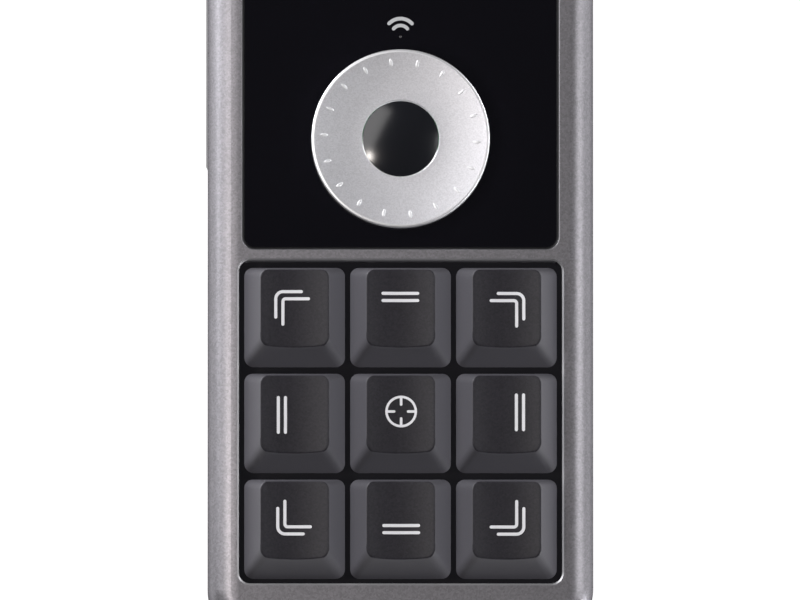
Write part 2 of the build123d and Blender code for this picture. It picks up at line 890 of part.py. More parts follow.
def make_keycap(place):
    """A sculpted keycap: steep behind, sloping in front, with a cylindrical dish on top."""
    here = Plane(origin=(*place, 0))
    inner_base = keycap_base - 2 * keycap_wall
    inner_top = keycap_crest - dish_depth - keycap_roof
    with BuildPart() as keycap:
        with BuildSketch(here.offset(keycap_bottom)):
            RectangleRounded(keycap_base, keycap_base, keycap_base_corner)
        with BuildSketch(here.offset(keycap_crest + crest_excess)):
            with Locations((0, keycap_top_shift)):
                RectangleRounded(keycap_top_width, keycap_top_depth, keycap_top_corner)
        loft(ruled=True)
        with Locations(here.offset(keycap_crest - dish_depth + dish_radius)):
            Cylinder(dish_radius, 3 * keycap_base, rotation=(90, 0, 0), mode=Mode.SUBTRACT)
        fillet(keycap.faces().filter_by(GeomType.CYLINDER).sort_by(SortBy.AREA)[-1].edges(), dish_edge_round)
        # The hollow inside, then the socket that grips the stem's cross.
        with BuildSketch(here.offset(keycap_bottom)):
            RectangleRounded(inner_base, inner_base, keycap_inner_corner)
        with BuildSketch(here.offset(inner_top)):
            with Locations((0, keycap_top_shift * keycap_hollow_share)):
                RectangleRounded(
                    keycap_top_width - 2 * keycap_top_wall,
                    keycap_top_depth - 2 * keycap_top_wall,
                    keycap_inner_corner,
                )
        loft(ruled=True, mode=Mode.SUBTRACT)
        with BuildSketch(here.offset(housing_top)):
            Circle(socket_radius)
        extrude(amount=inner_top + overlap - housing_top)
        with BuildSketch(here.offset(housing_top)):
            Rectangle(cross_arm + socket_clearance, cross_width + socket_clearance)
            Rectangle(cross_width + socket_clearance, cross_arm + socket_clearance)
        extrude(amount=stem_top + running_clearance - housing_top, mode=Mode.SUBTRACT)
    return keycap


for key_name, place in zip(key_names, key_places):
    keep(make_switch(place), f"switch_{key_name}")
    keep(make_stem(place), f"stem_{key_name}")
    keep(make_spring(place), f"spring_{key_name}")
    keep(make_keycap(place), f"keycap_{key_name}")
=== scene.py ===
"""Dresses the desk keypad: the finish of every part, its keycaps and their marks, its dial, and its studio.

The file is laid out as an add-on and run as a script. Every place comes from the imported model, so a piece
sits where its part is. Sizes are metres, as Blender keeps them; MM turns millimetres into them.
"""

import math

import bmesh
import bpy
from bpy.props import FloatProperty, FloatVectorProperty, IntProperty, PointerProperty
from mathutils import Matrix, Vector


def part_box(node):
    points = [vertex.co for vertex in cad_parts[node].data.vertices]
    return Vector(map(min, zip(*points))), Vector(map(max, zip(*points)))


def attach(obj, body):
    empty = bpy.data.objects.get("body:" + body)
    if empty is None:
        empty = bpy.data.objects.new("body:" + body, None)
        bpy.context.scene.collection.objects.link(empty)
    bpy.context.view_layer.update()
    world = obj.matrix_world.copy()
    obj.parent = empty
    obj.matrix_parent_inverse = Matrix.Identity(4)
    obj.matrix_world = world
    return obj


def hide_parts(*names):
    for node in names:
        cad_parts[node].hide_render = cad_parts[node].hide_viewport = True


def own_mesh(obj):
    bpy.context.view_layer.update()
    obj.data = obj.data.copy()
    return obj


bl_info = {
    "name": "Desk Keypad Finish",
    "version": (1, 0, 0),
    "blender": (4, 5, 0),
    "location": "3D View > Sidebar > Keypad",
    "description": "Finishes a desk keypad with a dial, and sets up its studio",
    "category": "Object",
}

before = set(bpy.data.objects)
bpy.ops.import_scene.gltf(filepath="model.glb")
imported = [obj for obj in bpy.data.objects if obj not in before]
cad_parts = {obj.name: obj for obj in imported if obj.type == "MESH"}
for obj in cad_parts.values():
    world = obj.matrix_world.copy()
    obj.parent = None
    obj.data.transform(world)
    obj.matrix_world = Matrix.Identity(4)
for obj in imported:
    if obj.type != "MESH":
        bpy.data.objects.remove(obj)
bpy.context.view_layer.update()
MM = 0.001
KEY_TRAVEL, WIRE_RADIUS, SPRING_TURNS = 4.0 * MM, 0.15 * MM, 6.0
DIAL_BORE = 6.95 * MM
DISH_CURVE = 1.6  # 1 would make the dial's dish a cone; more makes it steeper towards the rim
FIRST_MARK = 77.3  # one of the dial's marks, in degrees anticlockwise from +X
# Near black that is painted shade, where shade falls between and under parts.
PAINTED_SHADE_BLACK = (0.0045, 0.004, 0.006)
KEY_NAMES = [f"{row}{column}" for row in (1, 2, 3) for column in (1, 2, 3)]


# ---- what a user would change
def length(name, description, millimetres):
    """A size that Blender shows in the scene's own unit."""
    return FloatProperty(
        name=name, description=description, default=millimetres * MM, unit="LENGTH", precision=5
    )


def angle(name, description, degrees):
    """An angle, given in degrees."""
    return FloatProperty(name=name, description=description, default=math.radians(degrees), subtype="ANGLE")


def colour(name, description, values):
    """A colour, as linear red, green and blue."""
    return FloatVectorProperty(
        name=name, description=description, default=values, size=3, min=0.0, max=1.0, subtype="COLOR"
    )


class KeypadKeys(bpy.types.PropertyGroup):
    """The shape and colours of the keycaps and the marks on them."""

    top_width: length("Top width", "Width of a keycap's top face", 12.3)
    top_depth: length("Top depth", "Depth of a keycap's top face, front to back", 13.6)
    back_inset: length("Back inset", "How far the top's back edge stands in from the keycap's back", 0.73)
    side_trim: length("Side trim", "How far the open bottom edge stands in at the sides", 0.05)
    front_trim: length("Front trim", "How far the open bottom edge stands in at the front", 0.20)
    back_trim: length("Back trim", "How far the open bottom edge stands in at the back", 0.12)
    base_front_corner: length("Base front corner", "Corner radius of the open bottom edge at the front", 1.7)
    base_back_corner: length("Base back corner", "Corner radius of the open bottom edge at the back", 1.5)
    back_corner: length("Back corner", "Corner radius of the top face at the back", 1.5)
    front_corner: length("Front corner", "Corner radius of the top face at the front", 1.6)
    dish_radius: length("Dish radius", "Radius of the shallow trough that runs front to back on top", 20.0)
    dish_depth: length("Dish depth", "Depth of that trough below the top's two sides", 0.97)
    edge_round: length("Edge rounding", "Rounding between the top face and the skirts", 0.30)
    wall: length("Wall", "Thickness of the skirts", 1.4)
    mark_width: length("Mark width", "Width of a line in the keys' marks", 0.56)
    mark_lift: length("Mark lift", "How far a mark stands proud of the keycap", 0.015)
    # The skirts are lighter and the top faces darker than one plastic would show: partly a two-tone finish,
    # partly painted light on the skirts and painted shade on the tops.
    plastic: colour("Skirts", "Colour of the keycaps' plastic", (0.0580, 0.0560, 0.0650))
    top_coat_and_shade: colour("Top faces", "Colour of the coat on the keycaps' top faces", (0.0122, 0.0112, 0.0152))
    mark: colour("Marks", "Colour of the marks", (0.70, 0.70, 0.73))


class KeypadDial(bpy.types.PropertyGroup):
    """The shape and colours of the dial and its centre button."""

    rim_width: length("Rim width", "Width of the polished rim around the dished face", 0.54)
    mark_count: IntProperty(name="Marks", description="Small marks around the dish", default=18, min=1)
    mark_radius: length("Mark radius", "Distance of the marks from the dial's axis", 13.75)
    mark_length: length("Mark length", "Length of a mark along the radius", 1.42)
    mark_width: length("Mark width", "Width of a mark", 0.60)
    mark_height: length("Mark height", "How far a mark stands out of the dish", 0.12)
    face: colour("Dished face", "Colour of the blasted metal", (0.64, 0.64, 0.672))
    rim: colour("Rim", "Colour of the polished metal", (0.80, 0.80, 0.82))
    mark: colour("Dial marks", "Colour of the small marks on the dish", (0.72, 0.72, 0.74))
    button: colour("Centre button", "Colour of the glossy button", (0.008, 0.0085, 0.011))


class KeypadCase(bpy.types.PropertyGroup):
    """The colours of the case, its panel and its side controls."""

    metal: colour("Frame", "Colour of the frame's metallic paint", (0.228, 0.221, 0.237))
    # Below its top edge the slope's colour fades to near black, as painted shade.
    bezel: colour("Window slope", "Colour of the slope round the panel, at its top edge", (0.27, 0.265, 0.28))
    cut_edge: colour("Cut edge", "Colour of the bare edge around the keys' opening", (0.37, 0.365, 0.375))
    panel: colour("Panel", "Colour of the gloss panel", (0.0030, 0.0028, 0.0045))
    icon: colour("Signal icon", "Colour of the arcs printed on the panel", (0.42, 0.43, 0.44))
    cover: colour("Bottom cover", "Colour of the bottom cover", (0.030, 0.030, 0.033))
    rocker: colour("Side rocker", "Colour of the rocker in the left side", (0.13, 0.13, 0.135))
    icon_height: length("Icon height", "Height of the signal icon's centre above the dial's axis", 18.93)


class KeypadStudio(bpy.types.PropertyGroup):
    """The camera and the lamps."""

    tilt: angle("Tilt", "How far the camera leans towards the front", 2.45)
    lean: angle("Lean", "How far the camera leans towards the left", 0.4)
    distance: FloatProperty(name="Distance", description="Camera to object", default=5.0, unit="LENGTH")
    view_width: length("View width", "Width of the view at the height of the frame's top", 143.9)
    aim_x: length("Aim X", "Where the middle of the view is, left to right", -0.1)
    aim_y: length("Aim Y", "Where the middle of the view is, front to back", -2.97)
    power: FloatProperty(name="Power", description="Scales the power of all the lamps", default=1.0, min=0.0)
    sky: FloatProperty(name="Sky", description="Strength of the light from overhead", default=0.046, min=0.0)


# ---- materials
def feed(tree, socket, value):
    """Sets an input, or links it where the value is another node's output."""
    if isinstance(value, bpy.types.NodeSocket):
        tree.links.new(value, socket)
    else:
        socket.default_value = value


def node(tree, kind, settings=None, **inputs):
    """Adds a node; inputs whose names hold spaces are written with underscores."""
    made = tree.nodes.new(kind)
    for name, value in (settings or {}).items():
        setattr(made, name, value)
    for name, value in inputs.items():
        feed(tree, made.inputs[name.replace("_", " ")], value)
    return made


def arithmetic(tree, operation, *values, clamp=False):
    """What a Math node makes of its values."""
    made = node(tree, "ShaderNodeMath", {"operation": operation, "use_clamp": clamp})
    for socket, value in zip(made.inputs, values):
        feed(tree, socket, value)
    return made.outputs[0]


def scaled(tree, vector, factor, name=""):
    """A vector or a colour times a number."""
    made = node(tree, "ShaderNodeVectorMath", {"operation": "SCALE"}, Vector=vector, Scale=factor)
    made.name = name or made.name
    return made.outputs[0]


def along(tree, axis, space="Object"):
    """One coordinate of the place that is shaded."""
    place = node(tree, "ShaderNodeTexCoord").outputs[space]
    return node(tree, "ShaderNodeSeparateXYZ", Vector=place).outputs[axis]


def noise(tree, place, **inputs):
    """Noise from 0 to 1 over a place."""
    return node(tree, "ShaderNodeTexNoise", Vector=place, **inputs).outputs["Fac"]


def group_with(name, inputs, outputs):
    """An empty shader node group, what its input node gives, and what its output node takes.

    inputs gives the inputs' defaults, and outputs the outputs' kinds.
    """
    group = bpy.data.node_groups.new(name, "ShaderNodeTree")
    for socket, default in inputs.items():
        kind = "NodeSocketColor" if isinstance(default, tuple) else "NodeSocketFloat"
        group.interface.new_socket(name=socket, in_out="INPUT", socket_type=kind).default_value = default
    for socket, kind in outputs.items():
        group.interface.new_socket(name=socket, in_out="OUTPUT", socket_type=f"NodeSocket{kind}")
    return group, group.nodes.new("NodeGroupInput").outputs, group.nodes.new("NodeGroupOutput").inputs


def grain_group():
    """Fine grain that varies colour, roughness and the normal, for moulded, painted and blasted surfaces."""
    name = "Fine Grain"
    if name in bpy.data.node_groups:
        return bpy.data.node_groups[name]
    inputs = {
        "Color": (0.5, 0.5, 0.5, 1.0),
        "Color Spread": 0.1,
        "Roughness": 0.5,
        "Roughness Spread": 0.1,
        "Grain Scale": 3000.0,
        "Height": 0.02 * MM,
    }
    outputs = {"Base Color": "Color", "Roughness": "Float", "Normal": "Vector"}
    group, given, result = group_with(name, inputs, outputs)
    place = node(group, "ShaderNodeTexCoord").outputs["Object"]
    scale = given["Grain Scale"]
    fine = noise(group, place, Scale=scale, Detail=2.0, Roughness=0.6)
    specks = node(group, "ShaderNodeTexVoronoi", Vector=place, Scale=scale).outputs["Color"]
    cloud = noise(group, place, Scale=90.0, Detail=3.0)
    # Brightness: each speck a little lighter or darker, over slow clouds.
    speck = node(group, "ShaderNodeSeparateColor", Color=specks).outputs["Red"]
    both = arithmetic(group, "MULTIPLY_ADD", cloud, 0.5, arithmetic(group, "SUBTRACT", speck, 0.5))
    swing = arithmetic(group, "MULTIPLY_ADD", both, given["Color Spread"], 1.0)
    feed(group, result["Base Color"], scaled(group, given["Color"], swing))
    # Roughness and the bump follow the finer noise.
    centred, spread = arithmetic(group, "SUBTRACT", fine, 0.5), given["Roughness Spread"]
    rough = arithmetic(group, "MULTIPLY_ADD", centred, spread, given["Roughness"], clamp=True)
    feed(group, result["Roughness"], rough)
    bump = node(group, "ShaderNodeBump", Strength=1.0, Distance=given["Height"], Height=fine)
    feed(group, result["Normal"], bump.outputs["Normal"])
    return group


def smudge_group():
    """Slow, faint changes of roughness and colour, as on a polished surface that has been handled."""
    name = "Handled Gloss"
    if name in bpy.data.node_groups:
        return bpy.data.node_groups[name]
    inputs = {"Color": (0.01, 0.01, 0.01, 1.0), "Roughness": 0.05, "Smudge": 0.02}
    group, given, result = group_with(name, inputs, {"Base Color": "Color", "Roughness": "Float"})
    place = node(group, "ShaderNodeTexCoord").outputs["Object"]
    haze = noise(group, place, Scale=55.0, Detail=5.0, Roughness=0.6)
    rough = arithmetic(group, "MULTIPLY_ADD", haze, given["Smudge"], given["Roughness"])
    feed(group, result["Roughness"], rough)
    lift = arithmetic(group, "MULTIPLY_ADD", haze, 0.2, 0.9)
    feed(group, result["Base Color"], scaled(group, given["Color"], lift))
    return group


def patterned(name, group, pattern, constants):
    """A material: a Principled shader that a node group's pattern feeds, with plain values of its own."""
    if name in bpy.data.materials:
        return bpy.data.materials[name]
    material = bpy.data.materials.new(name)
    material.use_nodes = True
    tree = material.node_tree
    shader = tree.nodes["Principled BSDF"]
    for output in node(tree, "ShaderNodeGroup", {"node_tree": group}, **pattern).outputs:
        feed(tree, shader.inputs[output.name], output)
    for socket, value in constants.items():
        feed(tree, shader.inputs[socket.replace("_", " ")], value)
    return material


def grained(name, tint, roughness, grain, spread=0.1, rough_spread=0.12, height=0.02, **constants):
    """A material with fine grain; grain is a speck's size and height the bumps', both in millimetres."""
    pattern = {
        "Color": (*tint, 1.0),
        "Color Spread": spread,
        "Roughness": roughness,
        "Roughness Spread": rough_spread,
        "Grain Scale": 1.0 / (grain * MM),
        "Height": height * MM,
    }
    return patterned(name, grain_group(), pattern, constants)


def glossy(name, tint, roughness, smudge=0.02, **constants):
    """A polished material with faint traces of handling."""
    pattern = {"Color": (*tint, 1.0), "Roughness": roughness, "Smudge": smudge}
    return patterned(name, smudge_group(), pattern, constants)


def finish(parts, *values, **constants):
    """Gives CAD nodes a grained material of their own."""
    finish_nodes(grained(*values, **constants), *parts.split())


def finish_nodes(material, *names):
    """Gives CAD nodes a better material."""
    for name in names:
        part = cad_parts[name]
        if not part.material_slots:
            part.data.materials.append(material)
        for slot in part.material_slots:
            slot.material = material


# ---- shapes
def in_scene(name, data):
    """A new object in the scene that holds a mesh, a lamp or a camera."""
    made = bpy.data.objects.new(name, data)
    bpy.context.scene.collection.objects.link(made)
    return made


def middle_of(low, high):
    """The middle of a box, as seen from above."""
    return Vector(((low.x + high.x) / 2, (low.y + high.y) / 2))


def new_piece(name, points, faces, material, body, smooth=True):
    """A closed mesh object at the origin that rides on a CAD body."""
    mesh = bpy.data.meshes.new(name)
    mesh.from_pydata([tuple(p) for p in points], [], faces)
    mesh.validate()
    mesh.materials.append(material)
    mesh.polygons.foreach_set("use_smooth", [smooth] * len(mesh.polygons))
    piece = in_scene(name, mesh)
    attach(piece, body)
    face_outwards(piece)
    return piece


def rounded_outline(low, high, front, back):
    """Points and outward directions, anticlockwise, around a rectangle with rounded corners.

    low and high are opposite corners; front and back are the radii of the corners there. Every outline
    has the same number of points and the same directions.
    """
    arc_steps, side_steps = 6, 14
    centres = []
    for index, radius in enumerate((front, back, back, front)):
        x = high[0] - radius if index in (0, 1) else low[0] + radius
        y = low[1] + radius if index in (0, 3) else high[1] - radius
        centres.append((Vector((x, y)), radius))
    around = []
    for index, (centre, radius) in enumerate(centres):
        start = math.radians(-90.0 + 90.0 * index)
        for step in range(arc_steps + 1):
            turn = start + math.radians(90.0) * step / arc_steps
            way = Vector((math.cos(turn), math.sin(turn)))
            around.append((centre + radius * way, way))
        leave, way = around[-1]
        ahead, ahead_radius = centres[(index + 1) % 4]
        arrive = ahead + ahead_radius * way
        around += [(leave.lerp(arrive, step / side_steps), way) for step in range(1, side_steps)]
    return around


def skin(rings, loop=False, close_first=False, close_last=False):
    """Points and faces over rings of points; a loop also joins the last to the first.

    A closed end is one flat face.
    """
    around = len(rings[0])
    starts = [ring * around for ring in range(len(rings))]
    faces = []
    for first, second in zip(starts, starts[1:] + ([0] if loop else [])):
        for step in range(around):
            ahead = (step + 1) % around
            faces.append((first + step, first + ahead, second + ahead, second + step))
    if close_first:
        faces.append(tuple(reversed(range(around))))
    if close_last:
        faces.append(tuple(starts[-1] + step for step in range(around)))
    return [point for ring in rings for point in ring], faces


def lathe(outline, centre, segments):
    """Points and faces of a closed outline of (radius, height) pairs turned about a vertical axis."""
    turns = [2.0 * math.pi * step / segments for step in range(segments)]
    ways = [(math.cos(turn), math.sin(turn)) for turn in turns]
    rings = []
    for radius, height in outline:
        rings.append([(centre.x + radius * x, centre.y + radius * y, height) for x, y in ways])
    return skin(rings, loop=True)


def rounded_path(corners, radius, spacing):
    """A path through points with its bends rounded, as closely spaced points."""
    bend_steps = 8
    path = [Vector(corners[0])]
    for before, corner, after in zip(corners, corners[1:], corners[2:]):
        come = (Vector(before) - corner).normalized()
        go = (Vector(after) - corner).normalized()
        start, end = corner + come * radius, corner + go * radius
        centre = corner + (come + go) * radius
        first = start - centre
        turn = first.angle_signed(end - centre)
        for step in range(bend_steps + 1):
            spin = turn * step / bend_steps
            c, s = math.cos(-spin), math.sin(-spin)
            path.append(centre + Vector((first.x * c - first.y * s, first.x * s + first.y * c)))
    path.append(Vector(corners[-1]))
    dense = [path[0]]
    for start, point in zip(path, path[1:]):
        steps = max(1, math.ceil((point - start).length / spacing))
        dense += [start.lerp(point, (step + 1) / steps) for step in range(steps)]
    return dense


def stroke(path, width, height_at, lift, closed=False):
    """Points and faces of a thin raised line with round ends that lies on a surface.

    height_at gives the surface's height at a point; the line's underside is sunk just below it.
    """
    half, sunk, count = width / 2.0, -4.0 * lift, len(path)
    stations = []
    for index, point in enumerate(path):
        before = path[index - 1] if (index or closed) else point
        after = path[(index + 1) % count] if (index < count - 1 or closed) else point
        stations.append((point, (after - before).normalized(), half))
    if not closed:
        turns = [math.radians(degrees) for degrees in (80.0, 60.0, 40.0, 20.0)]
        ends = [(half * math.sin(turn), half * math.cos(turn)) for turn in turns]
        first, first_way, _ = stations[0]
        last, last_way, _ = stations[-1]
        head = [(first - first_way * reach, first_way, breadth) for reach, breadth in ends]
        tail = [(last + last_way * reach, last_way, breadth) for reach, breadth in reversed(ends)]
        stations = head + stations + tail
    rings = []
    for point, way, breadth in stations:
        across = Vector((-way.y, way.x)) * breadth
        edges = ((across, lift), (-across, lift), (-across, sunk), (across, sunk))
        rings.append([(*(point + edge), height_at(point + edge) + level) for edge, level in edges])
    return skin(rings, loop=closed, close_first=not closed, close_last=not closed)


def joined(shapes):
    """Several lots of points and faces as one."""
    points, faces = [], []
    for more_points, more_faces in shapes:
        shift = len(points)
        points += list(more_points)
        faces += [tuple(index + shift for index in face) for face in more_faces]
    return points, faces


def face_outwards(piece):
    """Turns every face of a closed mesh outwards."""
    work = bmesh.new()
    work.from_mesh(piece.data)
    bmesh.ops.recalc_face_normals(work, faces=work.faces)
    work.to_mesh(piece.data)
    work.free()


def sharpen(piece, degrees):
    """Keeps edges that turn by more than an angle crisp, and shades the rest smooth."""
    piece.data.set_sharp_from_angle(angle=math.radians(degrees))


# ---- the case
class KEYPAD_OT_case(bpy.types.Operator):
    """Finish the frame, the bottom cover, the feet and the screws"""

    bl_idname = "keypad.case"
    bl_label = "Case"

    def execute(self, context):
        look = context.scene.keypad_case
        paint = grained(
            "Gunmetal Paint", look.metal, 0.42, grain=0.30, spread=0.30, rough_spread=0.20, height=0.006,
            Metallic=0.85, Specular_Tint=(0.05, 0.05, 0.05, 1.0),
        )
        roll_edge(paint)
        bezel = grained(
            "Dark Bezel", look.bezel, 0.45, grain=0.2, height=0.004, Metallic=0.6, Specular_IOR_Level=0.3
        )
        # Painted shade: the slope's colour fades to near black towards its foot.
        paint_shade_down(bezel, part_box("front_panel")[1].z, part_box("top_frame")[1].z)
        cut = grained("Cut Edge", look.cut_edge, 0.55, grain=0.2, spread=0.05, height=0.002, Metallic=1.0)
        # Near-black paint stands in for shade on the walls round the keys and under the panel.
        shade = grained("Well Coat", PAINTED_SHADE_BLACK, 0.7, grain=0.2, height=0.004, Specular_IOR_Level=0.15)
        frame_with_edges(paint, bezel, cut, shade)
        finish("bottom_cover", "Cover Plastic", look.cover, 0.55, grain=0.35, height=0.03)
        finish("rubber_feet", "Foot Rubber", (0.020, 0.020, 0.021), 0.8, grain=0.15, height=0.02)
        finish(
            "case_screws", "Blackened Steel", (0.045, 0.045, 0.05), 0.38, grain=0.1, height=0.004,
            Metallic=0.9,
        )
        finish(
            "board_screws", "Bright Steel", (0.60, 0.60, 0.62), 0.3, grain=0.1, height=0.004, Metallic=1.0
        )
        return {"FINISHED"}


def roll_edge(paint):
    """Lets the frame's top start to roll over before its left side's rounding, by a wide, low bump."""
    tree, name = paint.node_tree, "Edge Roll"
    if name in tree.nodes:
        return
    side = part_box("top_frame")[0].x
    start, end, depth = side + 2.1 * MM, side + 5.7 * MM, 0.27 * MM
    drop = node(
        tree, "ShaderNodeMapRange", {"interpolation_type": "SMOOTHSTEP"},
        Value=along(tree, "X"), From_Min=start, From_Max=end,
    )
    shader = tree.nodes["Principled BSDF"]
    grain = shader.inputs["Normal"].links[0].from_socket
    roll = node(
        tree, "ShaderNodeBump", {"name": name},
        Strength=1.0, Distance=depth, Height=drop.outputs["Result"], Normal=grain,
    )
    feed(tree, shader.inputs["Normal"], roll.outputs["Normal"])


def paint_shade_down(material, low, high, dark=0.05, power=4.0):
    """Paints shade into a material's colour: it fades to near black from a slope's top edge down to its foot.
    """
    tree, name = material.node_tree, "Fade"
    if name in tree.nodes:
        return
    rise = node(tree, "ShaderNodeMapRange", Value=along(tree, "Z"), From_Min=low, From_Max=high)
    steep = arithmetic(tree, "POWER", rise.outputs["Result"], power)
    share = arithmetic(tree, "MULTIPLY_ADD", steep, 1.0 - dark, dark)
    colour_socket = tree.nodes["Principled BSDF"].inputs["Base Color"]
    feed(tree, colour_socket, scaled(tree, colour_socket.links[0].from_socket, share, name))


def frame_with_edges(paint, bezel, cut, shade):
    """The frame again, with a bare edge round the keys, and painted shade on the slope round the window, on
    the walls round the keys and under the panel.
    """
    in_paint, in_bezel, in_cut, in_shade = range(4)
    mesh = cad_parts["top_frame"].data.copy()
    mesh.name = "painted_frame"
    mesh.materials.clear()
    for material in (paint, bezel, cut, shade):
        mesh.materials.append(material)
    near, hair = 1.0 * MM, 0.001 * MM
    panel_low, panel_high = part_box("front_panel")
    keys_low, keys_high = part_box("keycap_31")[0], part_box("keycap_13")[1]
    top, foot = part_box("top_frame")[1].z, panel_high.z - 0.1 * MM
    reach = panel_high.x + 1.5 * MM

    def inside(at, low, high):
        """Whether a point is over a box, or near that."""
        return all(a - near < b < c + near for a, b, c in zip(low.xy, at.xy, high.xy))

    for face in mesh.polygons:
        centre, rise = face.center, face.normal.z
        under_panel = centre.z < panel_high.z and inside(centre, panel_low, panel_high)
        steep, sloping, rolled = abs(rise) < 0.3, 0.2 < rise < 0.75, 0.3 < rise < 0.95
        # Faces under the panel and steep walls round the keys take the painted shade.
        if under_panel or (steep and inside(centre, keys_low, keys_high)):
            face.material_index = in_shade
        if centre.z < foot or centre.z > top - hair or abs(centre.x) > reach:
            continue
        if panel_low.y - near < centre.y < panel_high.y + near:
            face.material_index = in_bezel if sloping else in_paint
        elif centre.y < panel_low.y - near and rolled:
            face.material_index = in_cut
    piece = in_scene("painted_frame", mesh)
    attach(piece, "case")
    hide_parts("top_frame")


class KEYPAD_OT_panel(bpy.types.Operator):
    """Finish the gloss panel, and print the signal icon on it"""

    bl_idname = "keypad.panel"
    bl_label = "Panel"

    def execute(self, context):
        look = context.scene.keypad_case
        gloss = glossy("Panel Gloss", look.panel, 0.045, smudge=0.03)
        finish_nodes(gloss, "front_panel")
        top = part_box("front_panel")[1].z
        centre = middle_of(*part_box("dial_ring")) + Vector((0.0, look.icon_height))
        self.signal_icon(centre, top, look.icon)
        self.lamp_window(centre - Vector((0.0, 0.45 * MM)), top)
        return {"FINISHED"}

    def signal_icon(self, centre, top, tint):
        """Two arcs, one over the other, each as its radius and width in millimetres and its half angle."""
        half_steps, print_height = 12, 0.01 * MM
        shapes = []
        for radius, width, half_angle in ((2.83, 0.66, 46.5), (1.60, 0.62, 51.0)):
            path = []
            for step in range(2 * half_steps + 1):
                turn = math.radians(90.0 + half_angle * (1.0 - step / half_steps))
                path.append(centre + radius * MM * Vector((math.cos(turn), math.sin(turn))))
            shapes.append(stroke(path, width * MM, lambda spot: top, print_height))
        ink = grained("Panel Ink", tint, 0.5, grain=0.1, spread=0.04, height=0.002)
        new_piece("signal_icon", *joined(shapes), ink, "case", smooth=False)

    def lamp_window(self, middle, top):
        """The window over the status lamp, low and domed, and faintly lighter than the panel."""
        radius = 0.24 * MM
        outline = [(0.02, 0.012), (0.6, 0.010), (1.0, 0.004), (1.0, -0.04)]
        outline = [(share * radius, top + height * MM) for share, height in outline]
        lens = glossy("Lamp Window", (0.035, 0.033, 0.033), 0.15)
        new_piece("lamp_window", *lathe(outline, middle, 24), lens, "case")


# ---- the keys
class Keycap:
    """One keycap, with its measures read from its CAD node."""

    SKIRT_RISES = (0.0, 0.03, 0.35, 0.7, 0.93)
    EDGE_TURNS = (0.0, 0.2, 0.4, 0.6, 0.8, 1.0)
    DISH_SHARES = (0.95, 0.86, 0.74, 0.6, 0.45, 0.3, 0.15, 0.04)

    def __init__(self, name, look):
        self.look = look
        self.low, self.high = low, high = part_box(f"keycap_{name}")
        self.middle = middle_of(low, high)
        half, back = look.top_width / 2, high.y - look.back_inset
        top_low, top_high = (self.middle.x - half, back - look.top_depth), (self.middle.x + half, back)
        base_low = (low.x + look.side_trim, low.y + look.front_trim)
        base_high = (high.x - look.side_trim, high.y - look.back_trim)
        base = rounded_outline(base_low, base_high, look.base_front_corner, look.base_back_corner)
        top = rounded_outline(top_low, top_high, look.front_corner, look.back_corner)
        self.heart = Vector(((top_low[0] + top_high[0]) / 2, (top_low[1] + top_high[1]) / 2))
        # Around the skirts: their foot, the point at the crest's height that they lean to, the way out,
        # and how far along that lean they meet the dish, found in a few rounds.
        self.skirts = []
        for (foot, way), (lean, _) in zip(base, top):
            share = 1.0
            for _ in range(8):
                share = self.rise(self.surface(foot.lerp(lean, share)))
            self.skirts.append((foot, lean, way, share))

    def rise(self, height):
        """A height as a share of the keycap's."""
        return (height - self.low.z) / (self.high.z - self.low.z)

    def surface(self, spot):
        """The dished top's height at a point."""
        radius, aside = self.look.dish_radius, spot.x - self.middle.x
        return self.high.z - self.look.dish_depth + radius - math.sqrt(radius**2 - aside**2)

    def skirt_ring(self, level):
        """The ring round the skirts at a share of their height."""
        ring = []
        for foot, lean, _, share in self.skirts:
            height = self.low.z + (self.high.z - self.low.z) * share * level
            ring.append((*foot.lerp(lean, share * level), height))
        return ring

    def edge_ring(self, turn):
        """A ring on the rounded edge: a curve from the skirts, over the crest, onto the dish."""
        size = self.look.edge_round
        ring = []
        for foot, lean, way, share in self.skirts:
            rim = foot.lerp(lean, share)
            inside = rim - way * size
            crest = Vector((*rim, self.surface(rim)))
            below = crest + (Vector((*foot, self.low.z)) - crest).normalized() * size
            on_dish = Vector((*inside, self.surface(inside)))
            ring.append(tuple(below * (1 - turn) ** 2 + crest * 2 * turn * (1 - turn) + on_dish * turn**2))
        return ring

    def dish_ring(self, edge, share):
        """The dish's edge drawn in towards its middle."""
        spots = [self.heart.lerp(Vector(point[:2]), share) for point in edge]
        return [(*spot, self.surface(spot)) for spot in spots]

    def hollow_ring(self, height, share=1.0):
        """A ring round the inside of the skirts."""
        ring = []
        for foot, lean, way, _ in self.skirts:
            spot = foot.lerp(lean, self.rise(height)) - way * self.look.wall
            ring.append((*self.heart.lerp(spot, share), height))
        return ring

    def shape(self):
        """Points and faces: skirts, rounded edge and dish, the hollow under them, and the post in it."""
        outer = [self.skirt_ring(level) for level in self.SKIRT_RISES]
        outer += [self.edge_ring(turn) for turn in self.EDGE_TURNS]
        outer += [self.dish_ring(outer[-1], share) for share in self.DISH_SHARES]
        thickness, bend, roof_share = 1.6 * MM, 0.4 * MM, 0.93
        roof = self.high.z - self.look.dish_depth - thickness
        heights = (self.low.z, (self.low.z + roof) / 2, roof - bend)
        inner = [self.hollow_ring(height) for height in heights] + [self.hollow_ring(roof, roof_share)]
        points, faces = joined([skin(outer, close_last=True), skin(inner, close_last=True)])
        around, shift = len(self.skirts), len(outer) * len(self.skirts)
        for step in range(around):
            ahead = (step + 1) % around
            faces.append((step, shift + step, shift + ahead, ahead))
        # The post that grips the switch's stem.
        pole, grip, segments = 0.1 * MM, 2.7 * MM, 24
        below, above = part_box("switch_11")[1].z, roof + 0.2 * MM
        post = lathe([(pole, below), (grip, below), (grip, above), (pole, above)], self.middle, segments)
        return joined([(points, faces), post])


def coat_and_shade_top(piece, coat, cap):
    """Gives the dished top, as far as the middle of its rounded edge, a darker coat of its own, which is
    partly a two-tone finish and partly painted shade.
    """
    piece.data.materials.append(coat)
    for face in piece.data.polygons:
        if face.normal.z > 0.7 and face.center.z > (cap.low.z + cap.high.z) / 2:
            face.material_index = 1


